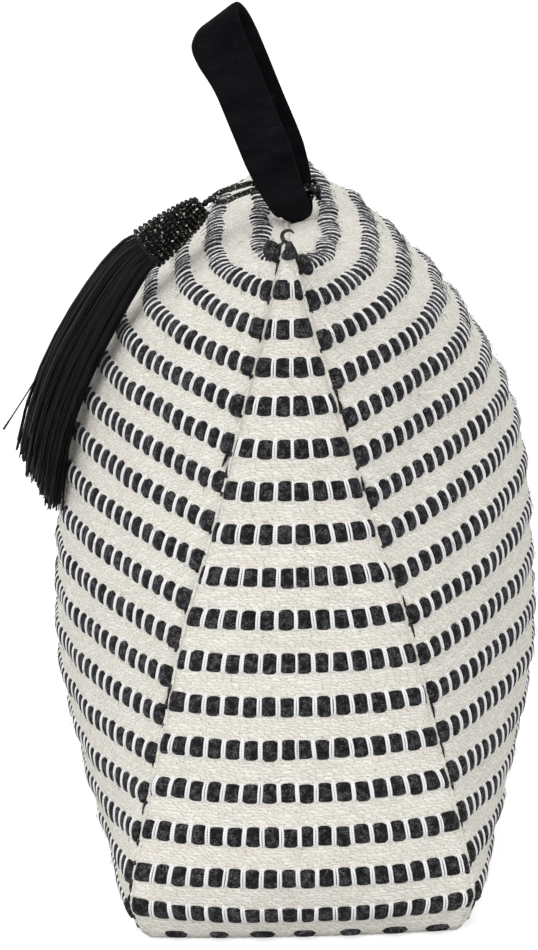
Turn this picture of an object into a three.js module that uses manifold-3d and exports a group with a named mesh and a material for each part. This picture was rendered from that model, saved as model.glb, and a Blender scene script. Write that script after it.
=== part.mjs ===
import * as THREE from "three";
import Module from "manifold-3d";

// Weighted fabric door stop: a tent-shaped stuffed bag, standing on its flat base.
// Millimetres. X is left to right, Y runs from the near end (minus) to the far end, Z is up.

// Overall cover
const tipHeight = 252;
const fabricThick = 1.6;
const seamGap = 0.25;
const stuffingGap = 1.9;

// The cover's shape at each height: fractions of tipHeight, then what they set there.
const heights = [0, 0.06, 0.15, 0.3, 0.45, 0.6, 0.75, 0.87, 0.95, 1];
// Half the width and half the depth between the corner seams
const seamHalfWidth = [57, 62, 58, 49, 40, 28, 17.5, 9, 4.5, 0.8];
const seamHalfDepth = [136, 139, 134, 128, 125, 122, 121, 122, 124, 126];
// How far the stuffing pushes each long side and each end out between its seams
const sideBulge = [9, 11.5, 24.5, 43, 50.5, 56.5, 47.5, 30, 16, 0];
const endBulge = [3, 8, 14, 12, 8, 6, 4, 2, 1, 0];
// How far the long sides rise or sag halfway along
const sideRise = [0, -3, -4, 4, 10.5, 15, 12, 6, -4.5, -17];
// How square each bulge is from seam to seam: 2 is a parabola, more is flatter in the middle.
const sidePower = [2.4, 2.5, 2.4, 2.3, 2.3, 2.1, 2.7, 3.7, 3.4, 2.8];
const endPower = 2.3;

// Woven rows of thick black yarn: the height of the first row on each panel, and the step to the next.
// On the ends the weave draws tighter above tightFrom rows.
const yarnTall = 6.8;
const yarnGap = 0.8;
const yarnThick = 1.6;
const yarnTipMargin = 1.2;
const endRows = { first: 11.5, pitch: 15.05, tightFrom: 12, tightPitch: 13.7 };
const rightRows = { first: 15.4, pitch: 14.2, tightFrom: 0, tightPitch: 14.2 };
const leftRows = { first: 12, pitch: 13.8, tightFrom: 0, tightPitch: 13.8 };

// Sand pouch that gives the weight
const pouchLength = 196;
const pouchWidth = 100;
const pouchHeight = 54;
const restGap = 0.35;
const pouchGap = 0.5;

// Strap loop, leaning to the left. Its path starts and ends side by side on the ridge seam,
// and its heights are above the middle of the ridge.
const strapThick = 2.0;
const strapWidth = 18.6;
const strapFootWidth = 14.2;
const strapFlare = 22;
const strapLean = 20.6;
const strapFoot = 3.6;
const strapPath = [
  [3.2, -1.9, 0], [1.4, -4.3, 3.4], [-2.4, -6.2, 11.9], [-7.4, -7.0, 25.4], [-13.6, -7.2, 41.9],
  [-20.2, -7.2, 59.4], [-23.2, -6.2, 67.4], [-24.9, -3.4, 73], [-24.2, 0.6, 75], [-21.6, 4.4, 72.6],
  [-18.4, 6.6, 66.4], [-15.6, 7.2, 59.4], [-9.0, 7.2, 41.9], [-2.6, 6.8, 25.4], [1.6, 5.6, 11.9],
  [3.0, 4.0, 3.4], [4.2, 1.9, 0],
];

// Tassel: where its head hangs on the left side, as a height fraction, a place along and a distance off it
const headSpot = { v: 0.939, w: -0.363, off: 17.9 };
const headDown = [-0.803, -0.017, -0.596];
const headLength = 29.5;
const headCoreTop = 4.0;
const headCoreEnd = 6.5;
const beadSize = 2.3;
const beadPitch = 2.46;
const coreGap = 0.3;
// The skirt follows the left side downwards.
const skirtStart = 1.0;
const skirtRoute = [
  { v: 0.807, w: -0.363, off: 14.4 }, { v: 0.756, w: -0.353, off: 12.9 }, { v: 0.685, w: -0.337, off: 12.6 },
  { v: 0.599, w: -0.319, off: 12 }, { v: 0.517, w: -0.309, off: 10.8 },
];
const skirtAway = [-0.8, -0.3, 0.5];
const skirtHalfWidth = [7.4, 8.2, 9.8, 11.6, 12.2, 12.4, 10.4];
const skirtHalfThick = [7, 6.6, 5.6, 4.8, 4.2, 3.6, 2.4];

// Beaded cord: from the tassel head between the strap's legs, round the far one and back.
// Its points are above the middle of the ridge.
const cordSize = 2.2;
const cordSides = 8;
const cordSteps = 48;
const cordEnds = { ahead: 1.1, apart: 3.3 };
const cordPath = [
  [-24.6, -41.2, 18.3], [-20.5, -30, 17.8], [-15.6, -13, 16.2], [-13, -4.6, 15.4], [-9, -1, 14.4],
  [-3, 0, 13], [4, 0.2, 12], [10.5, 1.2, 11.4], [13.4, 5, 11.3], [11, 8.8, 11.3], [3, 9.4, 11.5],
  [-4, 8.8, 11.9], [-10.8, 3.4, 12], [-14.6, -8, 12.6], [-18.6, -21, 13.4], [-21.8, -35, 14.2],
  [-24.9, -44.4, 15.6],
];

const colours = {
  ivory: 0xddd9cf, blackWool: 0x2c2b2c, sandCloth: 0xb9ad94, wadding: 0xf0efec, velvet: 0x18181b, tassel: 0x202124, bead: 0x2b2724,
};

const group = new THREE.Group();
group.name = "door_stop";
const wasm = await Module();
wasm.setup();

// Plain vector sums
const add = (p, q, s = 1) => [p[0] + q[0] * s, p[1] + q[1] * s, p[2] + q[2] * s];
const sub = (p, q) => [p[0] - q[0], p[1] - q[1], p[2] - q[2]];
const cross = (p, q) => [p[1] * q[2] - p[2] * q[1], p[2] * q[0] - p[0] * q[2], p[0] * q[1] - p[1] * q[0]];
const dot = (p, q) => p[0] * q[0] + p[1] * q[1] + p[2] * q[2];
function unit(p) {
  const size = Math.hypot(...p) || 1;
  return [p[0] / size, p[1] / size, p[2] / size];
}

// A smooth curve through the values set at the heights, with no overshoot between them.
function smooth(values, v) {
  const last = heights.length - 1;
  const slopes = [];
  for (let i = 0; i < last; i++) slopes.push((values[i + 1] - values[i]) / (heights[i + 1] - heights[i]));
  const tangents = heights.map((_, i) => {
    if (i === 0) return slopes[0];
    if (i === last) return slopes[last - 1];
    const before = slopes[i - 1];
    const after = slopes[i];
    return before * after <= 0 ? 0 : (2 * before * after) / (before + after);
  });
  const at = Math.min(Math.max(v, 0), 1);
  let i = 0;
  while (i < last - 1 && at > heights[i + 1]) i++;
  const step = heights[i + 1] - heights[i];
  const t = (at - heights[i]) / step;
  return (
    values[i] * (1 + 2 * t) * (1 - t) ** 2 + tangents[i] * step * t * (1 - t) ** 2 +
    values[i + 1] * t * t * (3 - 2 * t) + tangents[i + 1] * step * t * t * (t - 1)
  );
}

// A point of a long side: v is the height fraction, w runs from -1 at the near seam to 1 at the far one.
function sidePoint(side, v, w) {
  const swell = 1 - Math.abs(w) ** smooth(sidePower, v);
  const x = smooth(seamHalfWidth, v) + smooth(sideBulge, v) * swell;
  return [side * x, smooth(seamHalfDepth, v) * w, v * tipHeight + smooth(sideRise, v) * swell];
}

// A point of an end: u runs from -1 at the left seam to 1 at the right one.
function endPoint(end, v, u) {
  const swell = 1 - Math.abs(u) ** endPower;
  const y = smooth(seamHalfDepth, v) + smooth(endBulge, v) * swell;
  return [smooth(seamHalfWidth, v) * u, end * y, v * tipHeight];
}

// The outward direction of a panel, from two short steps across it.
function outward(kind, side, v, s) {
  const h = 0.004;
  const point = kind === "side" ? sidePoint : endPoint;
  const over = sub(point(side, v, Math.min(s + h, 1)), point(side, v, Math.max(s - h, -1)));
  const up = sub(point(side, Math.min(v + h, 1), s), point(side, Math.max(v - h, 0), s));
  const sign = kind === "side" ? side : -side;
  return unit(cross(over, up).map((value) => value * sign));
}

// Near a seam the direction turns to the one halfway between the two panels that meet there.
function panelOutward(kind, side, v, s) {
  const own = outward(kind, side, v, s);
  const other = outward(kind === "side" ? "end" : "side", Math.sign(s) || 1, v, side);
  let n = add(own, other, Math.abs(s) ** 10);
  if (kind === "side") n = add([n[0] * (1 - v ** 40), n[1] * (1 - v ** 40), n[2]], [0, 0, 1], v ** 40);
  else n = add(n, [0, 0, 0.5], v ** 40);
  n = add(n, [0, 0, -1], (1 - v) ** 40);
  return unit(n);
}

function panelPoint(kind, side, v, s, lift) {
  const p = kind === "side" ? sidePoint(side, v, s) : endPoint(side, v, s);
  return add(p, panelOutward(kind, side, v, s), lift);
}

// Makes one named solid from its points and faces, and turns it right side out.
function addSolid(name, points, faces, colour, roughness, metalness = 0) {
  let volume = 0;
  for (const [a, b, c] of faces) volume += dot(points[a], cross(points[b], points[c]));
  const index = [];
  for (const [a, b, c] of faces) index.push(...(volume < 0 ? [a, c, b] : [a, b, c]));
  const geometry = new THREE.BufferGeometry();
  geometry.setAttribute("position", new THREE.Float32BufferAttribute(points.flat(), 3));
  geometry.setIndex(index);
  geometry.computeVertexNormals();
  const mesh = new THREE.Mesh(geometry, new THREE.MeshStandardMaterial({ color: colour, roughness, metalness }));
  mesh.name = name;
  group.add(mesh);
  return mesh;
}

// A bar through sections of equal corner count, closed by a fan at each end.
function barFaces(sections) {
  const points = sections.flat();
  const n = sections[0].length;
  const faces = [];
  for (let i = 0; i + 1 < sections.length; i++) {
    for (let j = 0; j < n; j++) {
      const k = (j + 1) % n;
      const a = i * n + j;
      const b = i * n + k;
      faces.push([a, b, b + n], [a, b + n, a + n]);
    }
  }
  const end = (sections.length - 1) * n;
  for (let j = 1; j + 1 < n; j++) {
    faces.push([0, j + 1, j]);
    faces.push([end, end + j, end + j + 1]);
  }
  return { points, faces };
}

function addBar(name, sections, colour, roughness) {
  const { points, faces } = barFaces(sections);
  return addSolid(name, points, faces, colour, roughness);
}

// A sheet of even thickness from its outer and inner grids of points.
function addSheet(name, outer, inner, colour, roughness) {
  const rows = outer.length;
  const columns = outer[0].length;
  const points = [...outer.flat(), ...inner.flat()];
  const shift = rows * columns;
  const faces = [];
  for (let i = 0; i + 1 < rows; i++) {
    for (let j = 0; j + 1 < columns; j++) {
      const a = i * columns + j;
      const b = a + 1;
      const c = a + columns + 1;
      const d = a + columns;
      faces.push([a, b, c], [a, c, d], [a + shift, c + shift, b + shift], [a + shift, d + shift, c + shift]);
    }
  }
  const rim = [];
  for (let j = 0; j < columns - 1; j++) rim.push(j);
  for (let i = 0; i < rows - 1; i++) rim.push(i * columns + columns - 1);
  for (let j = columns - 1; j > 0; j--) rim.push((rows - 1) * columns + j);
  for (let i = rows - 1; i > 0; i--) rim.push(i * columns);
  rim.forEach((a, k) => {
    const b = rim[(k + 1) % rim.length];
    faces.push([a, a + shift, b + shift], [a, b + shift, b]);
  });
  return addSolid(name, points, faces, colour, roughness);
}

const spread = (from, to, count) => Array.from({ length: count + 1 }, (_, i) => from + ((to - from) * i) / count);
// Steps across a long side and an end, closer together by the seams
const sideSteps = [-1, -0.95, -0.86, -0.72, -0.55, -0.37, -0.18, 0, 0.18, 0.37, 0.55, 0.72, 0.86, 0.95, 1];
const endSteps = [-1, -0.86, -0.6, -0.3, 0, 0.3, 0.6, 0.86, 1];
const heightSteps = [0, 0.03, 0.08, 0.15, 0.24, 0.34, 0.45, 0.56, 0.67, 0.77, 0.86, 0.92, 0.955, 0.975, 0.99, 1];

// Each panel stops short of its seams, so that two panels never share the same space.
function cover(name, kind, side) {
  const steps = kind === "side" ? sideSteps : endSteps;
  const grid = (lift) => heightSteps.map((v) => {
    const half = kind === "side" ? smooth(seamHalfDepth, v) : smooth(seamHalfWidth, v);
    const most = 1 - Math.min(seamGap / half, 0.4);
    const thin = Math.min(1, smooth(seamHalfWidth, v) / 5 + 0.1);
    return steps.map((s) => {
      const local = kind === "side" ? Math.max(thin, 1 - Math.abs(s) ** 3) : thin;
      return panelPoint(kind, side, v, s * most, lift * local);
    });
  });
  addSheet(name, grid(0), grid(-fabricThick), colours.ivory, 0.95);
}
cover("left_panel", "side", -1);
cover("right_panel", "side", 1);
cover("near_gusset", "end", -1);
cover("far_gusset", "end", 1);

// The right half of a level outline, from the middle of the near end round to the middle of the far end.
function halfOutline(v, lift) {
  const near = endSteps.filter((u) => u >= 0).map((u) => panelPoint("end", -1, v, u, lift));
  const side = sideSteps.slice(1, -1).map((w) => panelPoint("side", 1, v, w, lift));
  const far = endSteps.filter((u) => u >= 0).reverse().map((u) => panelPoint("end", 1, v, u, lift));
  const half = [...near, ...side, ...far];
  half[0][0] = 0;
  half[half.length - 1][0] = 0;
  return half;
}

// A closed body from half outlines, mirrored left to right, with its top and bottom spanned across.
function mirroredBody(halves) {
  const n = halves[0].length;
  const loop = 2 * n - 2;
  const points = [];
  for (const half of halves) {
    points.push(...half);
    for (let i = n - 2; i > 0; i--) points.push([-half[i][0], half[i][1], half[i][2]]);
  }
  const faces = [];
  for (let k = 0; k + 1 < halves.length; k++) {
    for (let i = 0; i < loop; i++) {
      const a = k * loop + i;
      const b = k * loop + ((i + 1) % loop);
      faces.push([a, b, b + loop], [a, b + loop, a + loop]);
    }
  }
  const span = (start, flip) => {
    const mirror = (i) => start + (i === 0 || i === n - 1 ? i : loop - i);
    for (let i = 0; i + 1 < n; i++) {
      const quad = [[start + i, start + i + 1, mirror(i + 1)], [start + i, mirror(i + 1), mirror(i)]];
      for (const face of quad) {
        if (new Set(face).size < 3) continue;
        faces.push(flip ? [face[0], face[2], face[1]] : face);
      }
    }
  };
  span(0, true);
  span((halves.length - 1) * loop, false);
  return { points, faces };
}

// Flat base panel, which the stop stands on
const baseInset = (fabricThick + restGap) * 1.15;
const baseOutline = halfOutline(0, 0).map((p) => {
  const away = unit([p[0] * 1.6 + 1e-9, p[1] * 0.6, 0]);
  return [Math.max(p[0] - away[0] * baseInset, 0), p[1] - away[1] * baseInset];
});
const plate = mirroredBody([baseOutline.map((p) => [p[0], p[1], 0]), baseOutline.map((p) => [p[0], p[1], fabricThick])]);
addSolid("base_panel", plate.points, plate.faces, colours.ivory, 0.95);

// Sand pouch: a soft box that lies on the base panel
const pouchFloor = fabricThick + restGap;
const pouchLevels = [0, 0.06, 0.2, 0.5, 0.8, 0.94, 1];
const pouchPower = 0.55;
const pouchShrink = 0.22;
const pouchRing = (v, grow) => {
  const round = 1 - pouchShrink * Math.abs(2 * v - 1) ** 3;
  const ring = [];
  for (let k = 0; k < 32; k++) {
    const angle = (k / 32) * 2 * Math.PI;
    const c = Math.cos(angle);
    const s = Math.sin(angle);
    const x = Math.sign(c) * Math.abs(c) ** pouchPower * (pouchWidth / 2) * round;
    const y = Math.sign(s) * Math.abs(s) ** pouchPower * (pouchLength / 2) * round;
    ring.push([x + Math.sign(c) * grow, y + Math.sign(s) * grow, pouchFloor + v * pouchHeight]);
  }
  return ring;
};
addBar("sand_pouch", pouchLevels.map((v) => pouchRing(v, 0)), colours.sandCloth, 0.95);

// Wadding fills the rest of the cover and leaves a hollow underneath for the pouch.
function toManifold({ points, faces }) {
  let volume = 0;
  for (const [a, b, c] of faces) volume += dot(points[a], cross(points[b], points[c]));
  const order = faces.map(([a, b, c]) => (volume < 0 ? [a, c, b] : [a, b, c]));
  const mesh = new wasm.Mesh({ numProp: 3, vertProperties: new Float32Array(points.flat()), triVerts: new Uint32Array(order.flat()) });
  mesh.merge();
  return new wasm.Manifold(mesh);
}
const waddingLevels = heightSteps.filter((v) => v > 0 && v < 0.95);
const waddingLift = -fabricThick - stuffingGap;
const full = toManifold(mirroredBody(waddingLevels.map((v) => halfOutline(v, waddingLift))));
const hollowLevels = [-0.2, ...pouchLevels.slice(1)];
const hollow = toManifold(barFaces(hollowLevels.map((v) => {
  const ring = pouchRing(Math.max(v, pouchLevels[1]), pouchGap);
  return ring.map((p) => [p[0], p[1], v < 0 ? -10 : pouchFloor + v * pouchHeight + (v >= 1 ? pouchGap : 0)]);
})));
const stuffing = full.subtract(hollow).getMesh();
const stuffingPoints = [];
for (let i = 0; i < stuffing.vertProperties.length; i += stuffing.numProp) {
  stuffingPoints.push([...stuffing.vertProperties.slice(i, i + 3)]);
}
const stuffingFaces = [];
for (let i = 0; i < stuffing.triVerts.length; i += 3) stuffingFaces.push([...stuffing.triVerts.slice(i, i + 3)]);
addSolid("wadding", stuffingPoints, stuffingFaces, colours.wadding, 1);

// The height of one woven row
function rowHeight(rows, k) {
  return rows.first + rows.pitch * Math.min(k, rows.tightFrom) + rows.tightPitch * Math.max(k - rows.tightFrom, 0);
}

// How many rows fit below the tip
function rowCount(rows) {
  let count = 0;
  while (rowHeight(rows, count) + yarnTall / 2 + yarnTipMargin < tipHeight) count++;
  return count;
}

// How far a panel runs for each step of height there
function runAt(kind, side, v, s) {
  const point = kind === "side" ? sidePoint : endPoint;
  const from = Math.max(v - 0.004, 0);
  const to = Math.min(v + 0.004, 1);
  return Math.hypot(...sub(point(side, to, s), point(side, from, s))) / (to - from);
}

// One section of a yarn row: a low ridge that stands on the cloth
function yarnSection(kind, side, z, s, stretch = 1) {
  const v = z / tipHeight;
  const half = yarnTall / 2 / runAt(kind, side, v, s);
  const at = (dv, lift) => panelPoint(kind, side, Math.min(v + dv, 1), s, lift * stretch);
  const top = yarnGap + yarnThick;
  return [at(-half, yarnGap), at(-half * 0.7, top), at(half * 0.7, top), at(half, yarnGap), at(0, yarnGap)];
}
// At a corner the yarn turns round the seam, further out than it is on either panel.
const cornerStretch = 1.45;
const label = (k) => String(k + 1).padStart(2, "0");
const rowSteps = sideSteps.slice(1, -1);
const leftRowSteps = [-0.985, ...rowSteps, 0.985];
const endRowSteps = [-0.93, -0.6, -0.3, 0, 0.3, 0.6, 0.93];

// The near end, the right side and the far end share each row.
const sharedRows = Math.min(rowCount(endRows), rowCount(rightRows));
for (let k = 0; k < sharedRows; k++) {
  const zEnd = rowHeight(endRows, k);
  const zRight = rowHeight(rightRows, k);
  const sections = [];
  for (const u of endRowSteps) sections.push(yarnSection("end", -1, zEnd, u));
  sections.push(yarnSection("end", -1, (zEnd + zRight) / 2, 1, cornerStretch));
  for (const w of rowSteps) sections.push(yarnSection("side", 1, zRight, w));
  sections.push(yarnSection("end", 1, (zEnd + zRight) / 2, 1, cornerStretch));
  for (const u of [...endRowSteps].reverse()) sections.push(yarnSection("end", 1, zEnd, u));
  addBar(`yarn_row_${label(k)}`, sections, colours.blackWool, 0.95);
}

// The left side's rows are woven a little closer, so it holds one more.
for (let k = 0; k < rowCount(leftRows); k++) {
  const z = rowHeight(leftRows, k);
  const sections = leftRowSteps.map((w) => yarnSection("side", -1, z, w));
  addBar(`left_yarn_row_${label(k)}`, sections, colours.blackWool, 0.95);
}

// A smooth path through the given points
function pathThrough(list, count) {
  const curve = new THREE.CatmullRomCurve3(list.map((p) => new THREE.Vector3(...p)), false, "centripetal");
  return spread(0, 1, count).map((t) => curve.getPoint(t).toArray());
}
const direction = (path, i) => unit(sub(path[Math.min(i + 1, path.length - 1)], path[Math.max(i - 1, 0)]));

// Where the middle of the ridge lies. The strap and the cord are placed from it.
const ridgeTop = sidePoint(1, 1, 0)[2];
const fromRidge = (list, lift) => list.map((p) => [p[0], p[1], p[2] + ridgeTop + lift]);

// The strap: one flat band, doubled into a loop, with its width held across the lean
const leanAngle = THREE.MathUtils.degToRad(strapLean);
const across = [Math.cos(leanAngle), 0, Math.sin(leanAngle)];
const strapLine = pathThrough(fromRidge(strapPath, strapFoot), 34);
addBar("handle_strap", strapLine.map((p, i) => {
  const along = direction(strapLine, i);
  const wide = unit(add(across, along, -dot(across, along)));
  const out = cross(wide, along);
  const flare = Math.min(Math.max((p[2] - ridgeTop - strapFoot) / strapFlare, 0), 1);
  const width = strapFootWidth + (strapWidth - strapFootWidth) * flare;
  const corner = (a, b) => add(add(p, wide, (a * width) / 2), out, (b * strapThick) / 2);
  return [
    corner(-1, -0.6), corner(-0.94, -1), corner(0.94, -1), corner(1, -0.6),
    corner(1, 0.6), corner(0.94, 1), corner(-0.94, 1), corner(-1, 0.6),
  ];
}), colours.velvet, 0.9);

// A ring of corners round a path point, with its own half sizes across and through
function ringAt(p, along, wide, halfWide, halfThick, sides) {
  const thick = cross(along, wide);
  const turns = spread(0, 2 * Math.PI, sides).slice(0, -1);
  return turns.map((t) => add(add(p, wide, Math.cos(t) * halfWide), thick, Math.sin(t) * halfThick));
}

// Tassel head: a tapered plug inside a sleeve of coiled beads
const headSides = 12;
const headTop = panelPoint("side", -1, headSpot.v, headSpot.w, headSpot.off);
const headLine = unit(headDown);
const headWide = unit(cross(headLine, [0, 1, 0]));
const headRing = (t, radius) => {
  return ringAt(add(headTop, headLine, t * headLength), headLine, headWide, radius, radius, headSides);
};
const coreRadius = (t) => headCoreTop + (headCoreEnd - headCoreTop) * t;
addBar("tassel_core", [0, 0.5, 0.97].map((t) => headRing(t, coreRadius(t))), colours.tassel, 0.9);

// The coils stand as one ridged sleeve, open at both ends: each coil swells by these shares of a bead.
const coilShape = [[0, 0.4], [0.25, 0.86], [0.5, 1], [0.75, 0.86]];
const beadCoils = Math.round(headLength / beadPitch);
const sleeveRings = [];
for (let c = 0; c < beadCoils; c++) {
  for (const [t, swell] of coilShape) {
    const at = (c + t) / beadCoils;
    sleeveRings.push(headRing(at, coreRadius(at) + coreGap + beadSize * swell));
  }
}
sleeveRings.push(headRing(1, coreRadius(1) + coreGap + beadSize * coilShape[0][1]));
sleeveRings.push(headRing(1, coreRadius(1) + coreGap), headRing(0, coreRadius(0) + coreGap));
const sleeveFaces = [];
sleeveRings.forEach((_, i) => {
  const here = i * headSides;
  const next = ((i + 1) % sleeveRings.length) * headSides;
  for (let j = 0; j < headSides; j++) {
    const k = (j + 1) % headSides;
    sleeveFaces.push([here + j, here + k, next + k], [here + j, next + k, next + j]);
  }
});
addSolid("bead_sleeve", sleeveRings.flat(), sleeveFaces, colours.bead, 0.35, 0.3);

// Tassel skirt: a flattened bundle of strands that lies against the left side
const skirtPath = [
  add(headTop, headLine, headLength + skirtStart),
  add(headTop, headLine, headLength + skirtStart + 4.2),
  ...skirtRoute.map((spot) => panelPoint("side", -1, spot.v, spot.w, spot.off)),
];
const skirtLine = pathThrough(skirtPath, 10);
addBar("tassel_skirt", skirtLine.map((p, i) => {
  const t = (i / (skirtLine.length - 1)) * (skirtPath.length - 1);
  const k = Math.min(Math.floor(t), skirtPath.length - 2);
  const mix = (list) => list[k] + (list[k + 1] - list[k]) * (t - k);
  const along = direction(skirtLine, i);
  return ringAt(p, along, unit(cross(skirtAway, along)), mix(skirtHalfWidth), mix(skirtHalfThick), 10);
}), colours.tassel, 0.95);

// Beaded cord: from the tassel head round the strap's foot and back
const cordEnd = (side) => add(add(headTop, headLine, -cordEnds.ahead), [0, 1, 0], (side * cordEnds.apart) / 2);
const cordPoints = [cordEnd(1), ...fromRidge(cordPath, 0), cordEnd(-1)].map((p) => new THREE.Vector3(...p));
const cordSection = new THREE.Shape(spread(0, 2 * Math.PI, cordSides).slice(0, -1).map((t) => {
  return new THREE.Vector2((Math.cos(t) * cordSize) / 2, (Math.sin(t) * cordSize) / 2);
}));
const cordGeometry = new THREE.ExtrudeGeometry(cordSection, {
  steps: cordSteps, bevelEnabled: false, extrudePath: new THREE.CatmullRomCurve3(cordPoints, false, "centripetal"),
});
const cord = new THREE.Mesh(cordGeometry, new THREE.MeshStandardMaterial({ color: colours.bead, roughness: 0.35 }));
cord.name = "bead_cord";
group.add(cord);

export default group;
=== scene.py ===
import math
import bpy
import numpy as np
from mathutils import Matrix


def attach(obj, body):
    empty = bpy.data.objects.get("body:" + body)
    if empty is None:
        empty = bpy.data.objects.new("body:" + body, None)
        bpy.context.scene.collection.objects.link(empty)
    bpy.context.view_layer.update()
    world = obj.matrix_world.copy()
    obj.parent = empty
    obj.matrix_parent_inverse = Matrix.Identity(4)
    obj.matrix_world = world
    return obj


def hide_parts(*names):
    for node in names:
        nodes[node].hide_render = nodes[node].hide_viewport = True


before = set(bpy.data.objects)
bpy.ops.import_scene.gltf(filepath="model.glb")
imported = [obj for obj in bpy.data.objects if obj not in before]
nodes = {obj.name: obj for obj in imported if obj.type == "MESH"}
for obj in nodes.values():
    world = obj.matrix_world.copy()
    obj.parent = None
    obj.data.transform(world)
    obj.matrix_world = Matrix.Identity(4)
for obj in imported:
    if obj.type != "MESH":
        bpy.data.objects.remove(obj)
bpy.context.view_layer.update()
mm = 0.001
print("frame loaded")

# The camera, as far off and as high as the photograph's. Angles are in degrees, lengths in metres.
view = {"place": (0, -1.2574, 0.4628), "tilt": 14.711, "roll": -1.381, "lens": 127.07, "sensor": 36,
        "shiftX": -0.0247, "shiftY": 0.0063}


def linked(name, data):
    made = bpy.data.objects.new(name, data)
    bpy.context.scene.collection.objects.link(made)
    return made


def stand(thing, place, axes):
    # puts a thing in its place, with its own axes along three directions
    turn = Matrix(np.column_stack(axes).tolist()).to_4x4()
    thing.matrix_world = Matrix.Translation(place) @ turn


def makeCamera():
    # looks along +Y, tilted down, then turned a little about its own line of sight
    tilt, roll = math.radians(view["tilt"]), math.radians(view["roll"])
    ahead = np.array([0, math.cos(tilt), -math.sin(tilt)])
    up = np.array([0, math.sin(tilt), math.cos(tilt)])
    right = np.array([1.0, 0, 0])
    x = right * math.cos(roll) + up * math.sin(roll)
    y = up * math.cos(roll) - right * math.sin(roll)
    data = bpy.data.cameras.new("camera")
    data.lens, data.sensor_fit = view["lens"], "VERTICAL"
    data.sensor_width = data.sensor_height = view["sensor"]
    data.shift_x, data.shift_y = view["shiftX"], view["shiftY"]
    data.clip_start, data.clip_end = 0.05, 60
    camera = linked("camera", data)
    stand(camera, view["place"], [x, y, -ahead])
    bpy.context.scene.camera = camera


makeCamera()
print("camera made")


# A socket that can be added, multiplied and bent like a number
class Wire:
    def __init__(self, finish, socket):
        self.finish, self.socket = finish, socket

    def maths(self, operation, *others):
        values = dict(enumerate([self, *others]))
        return self.finish.node("Math", {"operation": operation}, values)

    def __rsub__(self, other):
        return self.finish.node("Math", {"operation": "SUBTRACT"}, {0: other, 1: self})

    def clamp(self):
        return self.finish.node("Clamp", {}, {0: self})


operators = {"__add__": "ADD", "__sub__": "SUBTRACT", "__mul__": "MULTIPLY", "__truediv__": "DIVIDE",
             "__pow__": "POWER", "__abs__": "ABSOLUTE", "floor": "FLOOR", "fract": "FRACT"}
for sign, operation in operators.items():
    setattr(Wire, sign, lambda wire, *others, name=operation: wire.maths(name, *others))


# The nodes round one shader: a material's, or the world's
class Finish:
    def __init__(self, name, owner=None, shader="Principled BSDF"):
        self.owner = owner or bpy.data.materials.new(name)
        self.owner.use_nodes = True
        self.tree = self.owner.node_tree
        self.shader = self.tree.nodes[shader]

    def node(self, kind, settings, inputs, output=0):
        # adds one node: its settings first, then the values or wires of its sockets
        made = self.tree.nodes.new("ShaderNode" + kind)
        for name, value in settings.items():
            setattr(made, name, value)
        for place, value in inputs.items():
            self.join(made.inputs[place], value)
        return Wire(self, made.outputs[output])

    def join(self, socket, value):
        if isinstance(value, Wire):
            self.tree.links.new(value.socket, socket)
        else:
            socket.default_value = value

    def set(self, **sockets):
        # constants and wires on the shader's own sockets
        for name, value in sockets.items():
            self.join(self.shader.inputs[name.replace("_", " ")], value)
        return self.owner

    def place(self, attribute=None):
        # the piece's own weave coordinates in millimetres, or its Object coordinates
        if attribute:
            return self.node("Attribute", {"attribute_name": attribute}, {}, "Vector")
        return self.node("TexCoord", {}, {}, "Object")

    def scaled(self, vector, scale):
        return self.node("Mapping", {}, {"Vector": vector, "Scale": scale})

    def split(self, vector):
        first = self.node("SeparateXYZ", {}, {0: vector})
        return [Wire(self, out) for out in first.socket.node.outputs]

    def noise(self, vector, scale, detail=2.0, roughness=0.5):
        return self.node("TexNoise", {}, {
            "Vector": vector, "Scale": scale, "Detail": detail, "Roughness": roughness})

    def hairs(self, vector, scale, middle, sharp):
        # thin lines where a stretched noise passes its middle value
        cloud = self.noise(self.scaled(vector, scale), 1.0, 2, 0.6)
        return (1 - abs(cloud - middle) * sharp).clamp()

    def chance(self, x, y):
        # a random number for each whole pair of numbers
        pair = self.node("CombineXYZ", {}, {0: x, 1: y})
        return self.node("TexWhiteNoise", {"noise_dimensions": "2D"}, {"Vector": pair})

    def ramp(self, value, start, end, low=0.0, high=1.0):
        # rises from low at start to high at end
        made = self.node("ValToRGB", {}, {0: value})
        elements = made.socket.node.color_ramp.elements
        for element, place, level in zip(elements, (start, end), (low, high)):
            element.position = place
            element.color = (level, level, level, 1)
        return made

    def mix(self, first, second, share):
        # colours may be wires or sRGB numbers
        first, second = [c if isinstance(c, Wire) else tone(*c) for c in (first, second)]
        return self.node("Mix", {"data_type": "RGBA"}, {0: share, 6: first, 7: second}, 2)

    def bump(self, height, distance, strength=1.0):
        sockets = {"Height": height, "Distance": distance, "Strength": strength}
        return self.node("Bump", {}, sockets)

    def seen(self):
        # one for what the camera sees, itself or by reflection or through glass
        rays = self.node("LightPath", {}, {}).socket.node.outputs
        direct, mirrored, through = [Wire(self, rays[f"Is {ray} Ray"]) for ray in studio["rays"]]
        return direct.maths("MAXIMUM", mirrored).maths("MAXIMUM", through)


def tone(red, green, blue):
    # an sRGB colour, 0 to 255, as the linear values that a socket takes
    parts = np.array([red, green, blue]) / 255
    linear = np.where(parts <= 0.04045, parts / 12.92, ((parts + 0.055) / 1.055) ** 2.4)
    return (*linear.tolist(), 1.0)


cloth = {"ivory": (253, 250, 241), "warm": (234, 224, 212), "cool": (226, 227, 217),
         "shadow": (118, 111, 100), "pick": 1.18, "float": 2.9, "step": 0.382, "slant": 0.55}


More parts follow.
